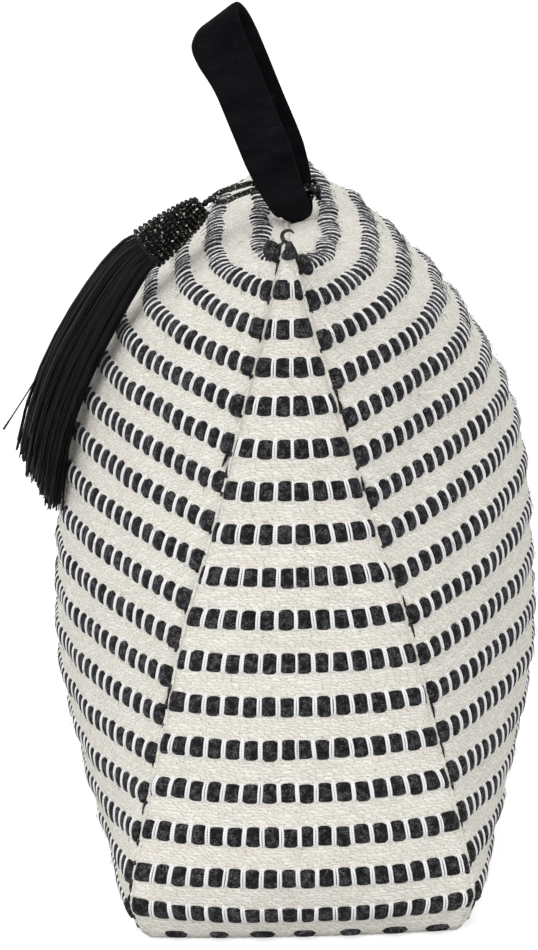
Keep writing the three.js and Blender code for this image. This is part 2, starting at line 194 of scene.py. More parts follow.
def weaveCloth(name, attribute=None):
    # short floats in lines, each line shifted against the last, with pin-holes where they meet, and painted
    # shade in the pin-holes and in the gaps between floats
    f = Finish(name)
    spot = f.place(attribute)
    if not attribute:
        spot = f.scaled(spot, (1000, 1000, 1000))
    drift = f.noise(spot, 0.16, 1)
    wave = f.noise(spot, 0.62, 2)
    x, y, _ = f.split(spot)
    x = x + (drift - 0.5) * 3.0 + (wave - 0.5) * 2.4
    y = y + (drift - 0.5) * 1.6 + (wave - 0.5) * 1.5
    line = y / cloth["pick"]
    row = line.floor()
    cell = x / cloth["float"] + row * cloth["step"] + f.chance(row, 3.0) * 0.6
    luck = f.chance(cell.floor(), row)
    lean = (cell.fract() - 0.5) * cloth["slant"] + (luck - 0.5) * 0.3
    across = abs((line + lean).fract() - 0.5) * 2
    along = abs(cell.fract() - 0.5) * 2
    crown = 1 - across * across
    run = 1 - along ** 3
    fluff = f.noise(f.scaled(spot, (1.1, 2.4, 1.1)), 1.0, 4, 0.7)
    height = crown * (run * 0.6 + 0.4) * (luck * 0.5 + 0.5) + (fluff - 0.5) * 0.9
    pinholeShade = ((1 - run) * (1.15 - crown)).clamp() ** 1.5
    tint = f.ramp(f.noise(spot, 0.35, 2), 0.38, 0.62)
    base = f.mix(cloth["warm"], cloth["cool"], tint)
    base = f.mix(base, cloth["ivory"], luck * 0.75 + 0.25)
    # painted shade: darker in the gaps between floats and in the pin-holes, with random grain from the fluff
    # noise
    gap = (1 - crown) * ((0.56 - fluff) * 4).clamp()
    dark = (pinholeShade * (1.15 - luck) * 0.8 + gap * 0.28 + (0.48 - fluff) * 0.8).clamp()
    colour = f.mix(base, cloth["shadow"], dark)
    return f.set(Base_Color=colour, Roughness=0.92, Normal=f.bump(height, 0.00052, 0.85),
                 Specular_IOR_Level=0.2, Sheen_Weight=0.08, Sheen_Roughness=0.6)


wool = {"black": (23, 23, 25), "deep": (6, 6, 7), "fleck": (196, 196, 200), "sheen": (200, 200, 205)}


def woolYarn(name):
    # charcoal fibres that run along the roving, with grey flecks and stray hairs
    f = Finish(name)
    spot = f.place("weave")
    fibre = f.noise(f.scaled(spot, (0.9, 3.2, 3.2)), 1.0, 4, 0.7)
    cloud = f.noise(spot, 0.42, 2)
    stray = (f.hairs(spot, (1.0, 1.7, 1.3), 0.5, 40) + f.hairs(spot, (1.9, 0.9, 1.6), 0.52, 46)).clamp()
    base = f.mix(wool["deep"], wool["black"], f.ramp(fibre, 0.36, 0.64))
    colour = f.mix(base, wool["fleck"], stray * f.ramp(cloud, 0.42, 0.62, 0.10, 0.95))
    return f.set(Base_Color=colour, Roughness=0.95, Normal=f.bump(fibre + stray * 0.35, 0.0007),
                 Specular_IOR_Level=0.1, Sheen_Weight=0.12, Sheen_Roughness=0.35,
                 Sheen_Tint=tone(*wool["sheen"]))


def whiteThread(name):
    # bright cotton with a fine twist along each strand, and painted shade in the grooves of the twist
    f = Finish(name)
    x, y, _ = f.split(f.place("weave"))
    twist = 1 - abs((x * 0.8 + y * 1.1).fract() - 0.5) * 2
    # painted shade: the thread is darker where the twist's height is low, in its grooves
    colour = f.mix((226, 226, 226), (252, 252, 252), twist)
    return f.set(Base_Color=colour, Roughness=0.85, Normal=f.bump(twist, 0.00012, 0.6),
                 Specular_IOR_Level=0.25)


velvet = {"deep": (11, 11, 14), "nap": (22, 22, 25), "lint": (120, 120, 128), "sheen": (200, 200, 210)}


def velvetPile(name):
    # black pile: a faint nap in patches, a little lint and a soft sheen at glancing angles
    f = Finish(name)
    spot = f.place()
    nap = f.noise(f.scaled(spot, (60, 60, 160)), 1.0, 3, 0.6)
    pile = f.noise(spot, 2600, 2, 0.6)
    lint = f.hairs(spot, (420, 420, 700), 0.5, 60) * f.ramp(f.noise(spot, 130, 1), 0.60, 0.78, 0.0, 0.28)
    colour = f.mix(velvet["deep"], velvet["nap"], f.ramp(nap, 0.35, 0.7))
    colour = f.mix(colour, velvet["lint"], lint)
    return f.set(Base_Color=colour, Roughness=1.0, Normal=f.bump(pile, 0.0003, 0.6),
                 Specular_IOR_Level=0.05, Sheen_Weight=0.10, Sheen_Roughness=0.35,
                 Sheen_Tint=tone(*velvet["sheen"]))


def silkStrand(name):
    # smooth black thread; each strand has its own shade
    f = Finish(name)
    luck = f.split(f.place("weave"))[2]
    colour = f.mix((2, 2, 3), (15, 16, 20), luck * luck)
    return f.set(Base_Color=colour, Roughness=0.42, Specular_IOR_Level=0.24)


glass = {"deep": (5, 5, 5), "light": (24, 22, 18), "paintedGlint": (226, 222, 208)}


def glassBead(name):
    # near-black glass; each bead has its own depth of colour, and small pale spots are painted highlights
    # standing for light caught on facets
    f = Finish(name)
    luck = f.split(f.place("weave"))[2]
    glintNoise = f.noise(f.place(), 1150, 1)
    # painted highlight: tiny pale spots on most beads stand for glints of the lamps
    paintedGlint = f.ramp(glintNoise, 0.63, 0.67) * f.ramp(luck, 0.20, 0.40)
    colour = f.mix(glass["deep"], glass["light"], luck ** 3)
    colour = f.mix(colour, glass["paintedGlint"], paintedGlint)
    return f.set(Base_Color=colour, Roughness=0.16, Specular_IOR_Level=0.14, Coat_Weight=0.03,
                 Coat_Roughness=0.04)


def plainCloth(name, light, dark, threads):
    # a simple weave of crossing threads, for what lies behind or inside
    f = Finish(name)
    spot = f.place()
    x, y, z = f.split(spot)
    grid = ((x + z * 0.5) * threads).fract() * ((y + z) * threads).fract()
    fuzz = f.noise(spot, 900, 3)
    colour = f.mix(dark, light, (grid * 0.8 + fuzz * 0.5).clamp())
    return f.set(Base_Color=colour, Roughness=0.95, Normal=f.bump(fuzz, 0.0004, 0.7))


ivoryCloth = weaveCloth("ivory_cloth", "weave")
baseCloth = weaveCloth("base_cloth")
blackWool = woolYarn("black_wool")
whiteCotton = whiteThread("white_cotton")
blackVelvet = velvetPile("black_velvet")
blackSilk = silkStrand("black_silk")
bronzeGlass = glassBead("bronze_glass")
coreThread = plainCloth("core_thread", (22, 22, 24), (9, 9, 10), 2200)
print("materials made")

# The stuffed bag's shape, in millimetres, at each of its heights
bag = {
    "tip": 252, "endPower": 2.3,
    "heights": [0, 0.06, 0.15, 0.3, 0.45, 0.6, 0.75, 0.87, 0.95, 1],
    "halfWidth": [57, 62, 58, 49, 40, 28, 17.5, 9, 4.5, 0.8],
    "halfDepth": [136, 139, 134, 128, 125, 122, 121, 122, 124, 126],
    "sideBulge": [9, 11.5, 24.5, 43, 50.5, 56.5, 47.5, 30, 16, 0],
    "endBulge": [3, 8, 14, 12, 8, 6, 4, 2, 1, 0],
    "sideRise": [0, -3, -4, 4, 10.5, 15, 12, 6, -4.5, -17],
    "sidePower": [2.4, 2.5, 2.4, 2.3, 2.3, 2.1, 2.7, 3.7, 3.4, 2.8],
    "cloth": 1.5, "crease": 1.5, "creaseWide": 1.5, "hem": 0.9, "hemWide": 1.6, "ridgeHem": 1.1,
    "ridgeHemWide": 1.4, "pucker": 0.42, "puckerReach": 6.0, "lump": 0.55, "floor": 0.03,
}
peak = bag["tip"]
ridgeTop = peak + bag["sideRise"][-1]


def cubic(t, start, end, leave, arrive):
    # the Hermite cubic from start to end, with its slopes at both
    first = start * (1 + 2 * t) * (1 - t) ** 2 + leave * t * (1 - t) ** 2
    return first + end * t * t * (3 - 2 * t) + arrive * t * t * (t - 1)


def smooth(name, v):
    # a cubic through the values at the heights; inner slopes are harmonic means, so nothing overshoots
    xs, ys = np.array(bag["heights"]), np.array(bag[name], float)
    slopes = np.diff(ys) / np.diff(xs)
    before, after = slopes[:-1], slopes[1:]
    same = before * after > 0
    inner = np.where(same, 2 * before * after / np.where(same, before + after, 1), 0)
    tangents = np.concatenate([slopes[:1], inner, slopes[-1:]])
    at = np.clip(v, 0, 1)
    i = np.clip(np.searchsorted(xs, at, side="right") - 1, 0, len(xs) - 2)
    step = xs[i + 1] - xs[i]
    return cubic((at - xs[i]) / step, ys[i], ys[i + 1], tangents[i] * step, tangents[i + 1] * step)


def halfAcross(kind, v):
    return smooth("halfDepth" if kind == "side" else "halfWidth", v)


def eased(share):
    # from 0 to 1 with level ends
    share = np.clip(share, 0, 1)
    return share * share * (3 - 2 * share)


def circle(count):
    return np.linspace(0, 2 * np.pi, count, endpoint=False)


def squared(wave, power):
    # keeps a wave's sign and bends its size, so that a circle turns into a rounded box
    return np.sign(wave) * np.abs(wave) ** power


def unit(p):
    return p / np.maximum(np.linalg.norm(p, axis=-1, keepdims=True), 1e-9)


def barePoint(kind, side, v, s):
    # long side: half width plus the bulge, which swells as 1 - |s|^power; end: the same across the end
    if kind == "side":
        swell = 1 - np.abs(s) ** smooth("sidePower", v)
        x = side * (smooth("halfWidth", v) + smooth("sideBulge", v) * swell)
        return np.stack([x, smooth("halfDepth", v) * s, v * peak + smooth("sideRise", v) * swell], -1)
    swell = 1 - np.abs(s) ** bag["endPower"]
    y = side * (smooth("halfDepth", v) + smooth("endBulge", v) * swell)
    return np.stack([smooth("halfWidth", v) * s, y, v * peak], -1)


def outward(kind, side, v, s):
    # the cross product of two short steps on the panel
    h = 0.004
    over = barePoint(kind, side, v, np.minimum(s + h, 1)) - barePoint(kind, side, v, np.maximum(s - h, -1))
    up = barePoint(kind, side, np.minimum(v + h, 1), s) - barePoint(kind, side, np.maximum(v - h, 0), s)
    return unit(np.cross(over, up) * (side if kind == "side" else -side))


def panelOutward(kind, side, v, s):
    # near a seam the direction turns to the one halfway between the two panels that meet there
    own = outward(kind, side, v, s)
    near = np.where(s < 0, -1.0, 1.0)
    flat = np.zeros_like(own)
    other = "end" if kind == "side" else "side"
    for end in (-1, 1):
        beside = outward(other, end, v, np.full_like(s, side))
        flat = np.where((near == end)[..., None], beside, flat)
    n = own + flat * (np.abs(s) ** 10)[..., None]
    top = (v ** 40)[..., None]
    if kind == "side":
        n = n * np.concatenate([1 - top, 1 - top, np.ones_like(top)], -1) + top * np.array([0, 0, 1.0])
    else:
        n = n + top * np.array([0, 0, 0.5])
    return unit(n - ((1 - v) ** 40)[..., None] * np.array([0, 0, 1.0]))


def clothLift(kind, side, v, s):
    # folds in at the seams, puckers beside them, and is lumpy where the filling presses
    half = halfAcross(kind, v)
    away = half * (1 - np.abs(s))
    z = v * peak
    long = kind == "side"
    phase = side * 1.3 + 2.1 * long + np.sign(s) * 0.7
    fold = -bag["crease"] * np.exp(-(away / bag["creaseWide"]) ** 2)
    hem = -bag["hem"] * np.exp(-(z / bag["hemWide"]) ** 2)
    hem = hem - bag["ridgeHem"] * long * np.exp(-((peak - z) / bag["ridgeHemWide"]) ** 2)
    wave = np.sin(z * 0.86 + 1.7 * np.sin(z * 0.11 + phase) + phase)
    pucker = bag["pucker"] * wave * np.exp(-away / bag["puckerReach"]) * (1 - np.exp(-away))
    along = s * half
    lump = np.sin(along * 0.083 + phase) * np.sin(z * 0.071 + phase * 1.9)
    lump = lump + 0.6 * np.sin(along * 0.19 - z * 0.13 + phase * 2.7)
    return fold + hem + pucker + bag["lump"] * lump * np.clip(away / 22, 0, 1) * np.clip(z / 30, 0, 1)


def clothPoint(kind, side, v, s, lift=0.0):
    # a point so many millimetres above the cloth's outer face
    v, s = np.broadcast_arrays(np.asarray(v, float), np.asarray(s, float))
    v = np.clip(v, 0, 1)
    rise = np.asarray(lift + clothLift(kind, side, v, s))[..., None]
    p = barePoint(kind, side, v, s) + panelOutward(kind, side, v, s) * rise
    p[..., 2] = np.maximum(p[..., 2], bag["floor"])
    return p


def runLength(points, axis=0):
    # the length travelled along one axis of a grid of points
    step = np.linalg.norm(np.diff(points, axis=axis), axis=-1)
    first = np.zeros_like(np.take(step, [0], axis=axis))
    return np.concatenate([first, np.cumsum(step, axis=axis)], axis=axis)


def withWeave(points, x, y, z):
    # points with their own weave coordinates beside them
    shape = points.shape[:-1]
    return np.concatenate([points] + [np.broadcast_to(c, shape)[..., None] for c in (x, y, z)], -1)


def ringMesh(rings, x=0, y=0, z=0):
    # bars of rings: bars x sections x sides; each bar's ends are closed by a fan round their middle
    rings = withWeave(rings, x, y, z)
    rings = rings.reshape(-1, *rings.shape[-3:])
    bars, sections, sides, width = rings.shape
    caps = rings[:, [0, -1]].mean(axis=2).reshape(-1, width)
    points = np.concatenate([rings.reshape(-1, width), caps])
    grid = np.arange(bars * sections * sides).reshape(bars, sections, sides)
    after = np.roll(grid, -1, axis=2)
    quads = np.stack([grid[:, :-1], after[:, :-1], after[:, 1:], grid[:, 1:]], -1)
    cap = grid.size + 2 * np.arange(bars)[:, None] + 0 * grid[:, 0]
    first = np.stack([cap, after[:, 0], grid[:, 0]], -1)
    last = np.stack([cap + 1, grid[:, -1], after[:, -1]], -1)
    return points, quads.reshape(-1, 4), np.concatenate([first.reshape(-1, 3), last.reshape(-1, 3)])


def sheetMesh(outer, inner):
    # two grids of points joined round their rim
    rows, columns, width = outer.shape
    points = np.concatenate([outer.reshape(-1, width), inner.reshape(-1, width)])
    shift = rows * columns
    grid = np.arange(shift).reshape(rows, columns)
    face = np.stack([grid[:-1, :-1], grid[:-1, 1:], grid[1:, 1:], grid[1:, :-1]], -1).reshape(-1, 4)
    edge = np.concatenate([grid[0, :-1], grid[:-1, -1], grid[-1, :0:-1], grid[:0:-1, 0]])
    after = np.roll(edge, -1)
    rim = np.stack([edge, edge + shift, after + shift, after], -1)
    return points, np.concatenate([face, face[:, ::-1] + shift, rim]), np.zeros((0, 3), int)


def joined(parts):
    # several meshes as one
    shifts = np.cumsum([0] + [len(part[0]) for part in parts])
    points, quads, tris = zip(*parts)
    faces = [np.concatenate([f + shift for f, shift in zip(kind, shifts)]) for kind in (quads, tris)]
    return np.concatenate(points), *faces


def makePiece(name, meshes, material, replaced=()):
    # the meshes in metres, turned right side out, with their weave coordinates in an attribute
    points, quads, tris = joined(meshes)
    p = points[:, :3]
    faces = np.concatenate([quads[:, :3], quads[:, [0, 2, 3]], tris])
    volume = np.einsum("ij,ij->i", p[faces[:, 0]], np.cross(p[faces[:, 1]], p[faces[:, 2]])).sum()
    if volume < 0:
        quads, tris = quads[:, ::-1], tris[:, ::-1]
    made = bpy.data.meshes.new(name)
    made.vertices.add(len(p))
    made.vertices.foreach_set("co", (p * mm).ravel())
    corners = np.concatenate([quads.ravel(), tris.ravel()]).astype(np.int32)
    made.loops.add(len(corners))
    made.loops.foreach_set("vertex_index", corners)
    starts = np.concatenate([np.arange(len(quads)) * 4, quads.size + np.arange(len(tris)) * 3])
    made.polygons.add(len(starts))
    made.polygons.foreach_set("loop_start", starts.astype(np.int32))
    made.polygons.foreach_set("use_smooth", np.ones(len(starts), bool))
    made.update(calc_edges=True)
    weave = made.attributes.new("weave", "FLOAT_VECTOR", "POINT")
    weave.data.foreach_set("vector", points[:, 3:].ravel())
    made.materials.append(material)
    piece = linked(name, made)
    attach(piece, "root")
    if replaced:
        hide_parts(*replaced)
    return piece


def sweep(centres, across, lift, acrossSize, liftSize, sides):
    # rings round centre lines: across and lift are the two directions of each ring, with their sizes
    turn = circle(sides)
    wide = across[..., None, :] * np.cos(turn)[:, None] * np.asarray(acrossSize)[..., None, None]
    high = lift[..., None, :] * np.sin(turn)[:, None] * np.asarray(liftSize)[..., None, None]
    return centres[..., None, :] + wide + high


def tubeAlong(line, radius, sides=8, facing=(0.13, 0.07, 1.0), flat=1):
    # tubes along lines of points; each ring's height faces one way, and flat is its share of the width
    along = unit(np.gradient(line, axis=-2))
    across = unit(np.cross(along, facing))
    return sweep(line, across, unit(np.cross(across, along)), radius, radius * flat, sides)


def clothTubes(kind, side, v, s, lift, radius, sides, flat=1):
    # tubes along lines on the cloth, with their height facing out of it
    facing = panelOutward(kind, side, v, s)
    return tubeAlong(clothPoint(kind, side, v, s, lift), radius, sides, facing, flat)


# Panels: each one's step counts up and across, and extra steps close to its seams
panels = {
    "left_panel": {"kind": "side", "side": -1, "up": 112, "over": 104},
    "right_panel": {"kind": "side", "side": 1, "up": 112, "over": 104},
    "near_gusset": {"kind": "end", "side": -1, "up": 150, "over": 56},
    "far_gusset": {"kind": "end", "side": 1, "up": 112, "over": 44},
}
edgeSteps = {"up": [0.002, 0.005, 0.009, 0.991, 0.995, 0.998], "side": [0.0035, 0.008, 0.013],
             "end": [0.01, 0.025, 0.045]}


def makePanel(name, kind, side, up, over):
    # a grid over height and across, closer at the seams, with an inner face behind it
    v = np.unique(np.concatenate([np.linspace(0, 1, up), edgeSteps["up"]]))
    close = 1 - np.array(edgeSteps[kind])
    s = np.unique(np.concatenate([np.linspace(-1, 1, over), close, -close]))
    v, s = np.meshgrid(v, s, indexing="ij")
    held = s * (1 - 0.06 / halfAcross(kind, v))
    thin = np.minimum(1, smooth("halfWidth", v) / 5 + 0.1)
    if kind == "side":
        thin = np.maximum(thin, 1 - np.abs(s) ** 3)
    outer = clothPoint(kind, side, v, held)
    inner = clothPoint(kind, side, v, held, -bag["cloth"] * thin)
    length = runLength(outer, 1)
    length = length - length[:, length.shape[1] // 2][:, None]
    high = runLength(outer)
    mesh = sheetMesh(withWeave(outer, length, high, side), withWeave(inner, length, high, side))
    cover = name.replace("panel", "cloth").replace("gusset", "gusset_cloth")
    piece = makePiece(cover, [mesh], ivoryCloth, [name])


for panelName, panelSize in panels.items():
    makePanel(panelName, **panelSize)
print("cloth panels made")

# Woven rows, as on the real cloth: heights in millimetres, and the step between the white pairs
rows = {
    "end": {"count": 17, "first": 11.5, "pitch": 15.05, "tightFrom": 12, "tightPitch": 13.7},
    "right": {"count": 17, "first": 15.4, "pitch": 14.2, "tightFrom": 0, "tightPitch": 14.2},
    "left": {"count": 18, "first": 12, "pitch": 13.8, "tightFrom": 0, "tightPitch": 13.8},
}
roving = {
    "half": 3.8, "proud": {"side": 1.5, "end": 1.35}, "pinchProud": 0.7, "pinch": 0.45,
    "pinchTall": {"side": 0.66, "end": 0.78}, "shoulder": {"side": 1.9, "end": 1.25},
    "pitch": 6.55, "seamDash": 6.5, "seamTall": 1.06, "seamProud": 1.2, "seamGap": 0.1,
    "endRound": {"side": 1.0, "end": 1.5}, "roundShare": 0.2, "jitter": 0.08, "arcSteps": 7,
    "cells": [-1, -0.88, -0.78, -0.66, -0.45, -0.15, 0.15, 0.45, 0.66, 0.78, 0.88],
    "columnAt": ([0, 100, 200, 245], [-1.6, -0.4, 0.6, 2.4]), "waver": 0.55, "cornerRise": 2.6,
}
pair = {"apart": 0.92, "radius": 0.44, "flat": 0.85, "reach": 4.0, "arch": {"side": 1.25, "end": 1.4},
        "foot": -0.45, "thinner": 0.22, "steps": 7, "sides": 5}


def rowHeights(plan):
    # even steps, and from one row on closer ones
    k = np.arange(plan["count"])
    low = plan["pitch"] * np.minimum(k, plan["tightFrom"])
    return plan["first"] + low + plan["tightPitch"] * np.maximum(k - plan["tightFrom"], 0)


def rowLine(kind, side, z):
    # the row's length along the cloth at each step across the panel
    s = np.linspace(-1, 1, 481)
    return s, runLength(clothPoint(kind, side, np.full_like(s, z / peak), s))


def surfaceStretch(kind, side, v, s):
    # how many millimetres of cloth lie under one millimetre of height
    h = 0.006
    high, low = np.minimum(v + h, 1), np.maximum(v - h, 0)
    step = np.linalg.norm(barePoint(kind, side, high, s) - barePoint(kind, side, low, s), axis=-1)
    return step / ((high - low) * peak)


def pinchPlaces(kind, z, total, rng):
    # where the white pairs cross: even steps from the near seam, or columns in line on an end
    step = roving["pitch"]
    if kind == "side":
        places = np.arange(roving["seamDash"] + rng.uniform(-0.6, 0.6), total - 4.2, step)
    else:
        columns = np.arange(-12, 13) * step + np.interp(z, *roving["columnAt"]) + total / 2
        places = columns[(columns > 2.4) & (columns < total - 2.4)]
    return places + rng.normal(0, roving["jitter"], len(places))


def zAlong(kind, k, z, s):
    # the lowest row of an end turns up at its corners; a side's rows waver more the higher they lie
    if kind == "side":
        return z + roving["waver"] * (z / peak) ** 2 * np.sin(s * 15 + k * 2.1) * (1 - s ** 4)
    return z + (roving["cornerRise"] * np.abs(s) ** 2.5 if k == 0 else 0 * s)


def rovingRow(kind, side, k, z, places, s, run, rng):
    # a half-round band along the row: full between two pairs, narrow and low under each pair
    gap = roving["seamGap"]
    knots = np.concatenate([[gap], places, [run[-1] - gap]])
    t = np.array(roving["cells"])
    middle, half = (knots[1:] + knots[:-1]) / 2, (knots[1:] - knots[:-1]) / 2
    at = (middle[:, None] + half[:, None] * t).ravel()
    toKnot = (half[:, None] * (1 - np.abs(t))).ravel()
    dome = np.tile(1 - t ** 2, len(half))
    seam = np.minimum(at - knots[0], knots[-1] - at)
    first = (at < knots[1]) | (at > knots[-2])
    toPair = np.where(first, np.where(at < run[-1] / 2, knots[1] - at, at - knots[-2]), toKnot)
    full = eased((toPair - roving["pinch"]) / roving["shoulder"][kind])
    luck = np.repeat(rng.normal(0, 1, (3, len(half))), len(t), axis=1)
    seamTall, seamProud = [np.where(first & (kind == "side"), roving[name], 1)
                           for name in ("seamTall", "seamProud")]
    low = roving["pinchTall"][kind]
    tall = roving["half"] * (low + full * (1 - low - 0.10 + 0.10 * dome))
    tall = tall * (1 + 0.035 * luck[0] * full) * (1 + (seamTall - 1) * full)
    least, most = roving["pinchProud"], roving["proud"][kind]
    proud = least + (most - least) * full * (0.9 + 0.1 * dome)
    proud = proud * (1 + 0.07 * luck[1] * full) * (1 + (seamProud - 1) * full)
    closing = min(roving["endRound"][kind], run[-1] * roving["roundShare"])
    closing = np.sqrt(1 - np.clip(1 - seam / closing, 0, 1) ** 2)
    tall, proud = tall * (0.25 + 0.75 * closing), proud * (0.15 + 0.85 * closing)
    place = np.interp(at, run, s)
    level = zAlong(kind, k, z, place) + 0.16 * luck[2] * full
    stretch = surfaceStretch(kind, side, level / peak, place)
    turn = np.linspace(0, np.pi, roving["arcSteps"])
    high = np.append(np.cos(turn), 0) * tall[:, None]
    rise = np.append(np.sin(turn) ** 0.8, 0) * proud[:, None]
    v = (level[:, None] + high / stretch[:, None]) / peak
    lift = -0.3 + rise + np.append(0 * turn, -0.5)
    points = clothPoint(kind, side, v, place[:, None], lift)
    return ringMesh(points, at[:, None] + side * 400, high, lift + k * 17)


def pairRow(kind, side, k, z, places, s, run, rng):
    # two strands over each pinch, arched across the roving and tucked into the cloth beside it
    psi = np.linspace(-1, 1, pair["steps"])
    n = len(places)
    offset = np.array([-0.5, 0.5]) * pair["apart"]
    lean = rng.normal(0, 0.13, (n, 1, 1))
    bow = rng.normal(0.0, 0.12, (n, 1, 1))
    size = 1 - pair["thinner"] * (z / peak) ** 4
    spread = offset[None, :, None] * size * (1 - 0.22 * psi ** 2) + rng.normal(0, 0.06, (n, 2, 1))
    at = places[:, None, None] + spread + lean * psi + bow * (1 - psi ** 2)
    place = np.interp(at, run, s)
    level = zAlong(kind, k, z, place)
    stretch = surfaceStretch(kind, side, level / peak, place)
    high = psi * pair["reach"] * (1 + rng.normal(0, 0.03, (n, 2, 1)))
    v = np.clip((level + high / stretch) / peak, 0, 1)
    lift = pair["foot"] + pair["arch"][kind] * (1 - np.abs(psi) ** 3.0)
    rings = clothTubes(kind, side, v, place, lift, pair["radius"] * size, pair["sides"], pair["flat"])
    return ringMesh(rings, np.arange(pair["sides"]) / pair["sides"], high[..., None] + k * 3, side)


def makeRows(name, kind, side, plan, seed, replaced):
    rng = np.random.default_rng(seed)
    wools, pairs = [], []
    for k, z in enumerate(rowHeights(plan)):
        s, run = rowLine(kind, side, z)
        places = pinchPlaces(kind, z, run[-1], rng)
        wools.append(rovingRow(kind, side, k, z, places, s, run, rng))
        if len(places):
            pairs.append(pairRow(kind, side, k, z, places, s, run, rng))
    makePiece(name + "_wool", wools, blackWool, replaced)
    makePiece(name + "_pairs", pairs, whiteCotton)


sharedRows = [f"yarn_row_{k + 1:02d}" for k in range(rows["end"]["count"])]
leftRows = [f"left_yarn_row_{k + 1:02d}" for k in range(rows["left"]["count"])]
makeRows("near", "end", -1, {**rows["end"], "count": 16}, 11, sharedRows)
makeRows("far", "end", 1, rows["end"], 12, sharedRows)
makeRows("right", "side", 1, rows["right"], 13, sharedRows)
makeRows("left", "side", -1, rows["left"], 14, leftRows)
print("woven rows made")

# Seams: a soft welt behind each crease, dashes of yarn caught in the base seam, and frayed yarn ends
seams = {"welt": 1.15, "ridge": 1.05, "baseDash": 8.2, "basePitch": 15.6, "baseTall": 1.75,
         "baseHigh": 2.3, "baseProud": 1.35, "frays": 3, "longShare": 0.22}
edges = [("side", 1), ("side", -1), ("end", 1), ("end", -1)]
sideRows = {1: rowHeights(rows["right"]), -1: rowHeights(rows["left"])}


def makeWelts():
    # four corner seams, the ridge and the base seam, each a tube that lies behind the cloth's edges
    parts = []
    v = np.linspace(0.004, 0.998, 160)
    lines = [clothPoint("side", side, v, np.full_like(v, s), -0.4) for side in (-1, 1) for s in (-1.0, 1.0)]
    w = np.linspace(-1, 1, 140)
    top = clothPoint("side", 1, np.ones_like(w), w, -0.2)
    top[:, 0] = 0.12 * np.sin(w * 40)
    lines.append(top)
    for kind, side in edges:
        line = clothPoint(kind, side, np.zeros_like(w), w)
        line[:, 2] = seams["welt"] + 0.1
        lines.append(line * np.array([0.985, 0.993, 1]))
    for line in lines:
        length = runLength(line)
        radius = seams["ridge" if line is top else "welt"] * (1 + 0.10 * np.sin(length * 1.9))
        rings = tubeAlong(line, radius)
        rings[..., 2] = np.maximum(rings[..., 2], bag["floor"])
        parts.append(ringMesh(rings, np.arange(8) * 0.9, length[:, None]))
    makePiece("seam_welts", parts, ivoryCloth)


def makeBaseDashes():
    # short flattened bars where the lowest row is caught in the base seam
    rng = np.random.default_rng(21)
    parts = []
    t = np.linspace(-1, 1, 9)
    turn = circle(8)
    closing = np.sqrt(1 - np.abs(t) ** 4 * 0.97)[:, None]
    for kind, side in edges:
        s, run = rowLine(kind, side, 1.5)
        middles = np.arange(11.0, run[-1] - 6, seams["basePitch"])
        middles = middles + rng.normal(0, 0.8, len(middles))
        long = seams["baseDash"] / 2 * (1 + rng.normal(0, 0.1, len(middles)))
        at = middles[:, None] + long[:, None] * t
        z = seams["baseHigh"] + seams["baseTall"] * closing * np.cos(turn)
        lift = -0.1 + seams["baseProud"] * closing * np.sin(turn)
        points = clothPoint(kind, side, z / peak, np.interp(at, run, s)[..., None], lift)
        parts.append(ringMesh(points, at[..., None], z, lift))
    makePiece("base_seam_dashes", parts, blackWool)


def makeFrays():
    # tapered ends of yarn that run along the corner seams beside each row, a few of them long
    rng = np.random.default_rng(22)
    parts = []
    t = np.linspace(0, 1, 6)
    for side, heights in sideRows.items():
        for s in (-1.0, 1.0):
            start = np.repeat(heights, seams["frays"])[:, None]
            each = start.shape
            reach = rng.random(each) < seams["longShare"]
            drop = np.where(reach, rng.uniform(4, 8, each), rng.uniform(0.7, 2.6, each))
            drop = drop * np.where(rng.random(each) < 0.75, -1, 0.7)
            z = start + np.sign(drop) * 2.6 + drop * t + rng.normal(0, 0.3, each)
            v = np.clip(z / peak, 0.004, 0.985)
            near = rng.uniform(-0.3, 0.9, each) + rng.normal(0, 0.3, each) * t
            place = s * (1 - np.abs(near) / smooth("halfDepth", v))
            lift = 0.3 + rng.uniform(-0.4, 0.5, each) + 0.25 * np.sin(t * 5)
            radius = rng.uniform(0.4, 0.8, each) * (1 - 0.6 * t ** 2)
            rings = clothTubes("side", side, v, place, lift, radius, 5)
            parts.append(ringMesh(rings, np.arange(5) * 0.5, z[..., None], lift[..., None]))
    makePiece("seam_frays", parts, blackWool)
makeWelts()
makeBaseDashes()
makeFrays()
print("seams made")

# Loose fibres that stand off the long sides' rows, most of them near the ridge
fuzz = {"hairs": 5600, "shortest": 1.6, "longest": 4.0, "thinnest": 0.04, "thickest": 0.085,
        "taper": [0.8, 1, 0.6], "spread": 2.0, "low": 0.6, "high": 1.5, "least": 0.07, "halfDepth": 150}


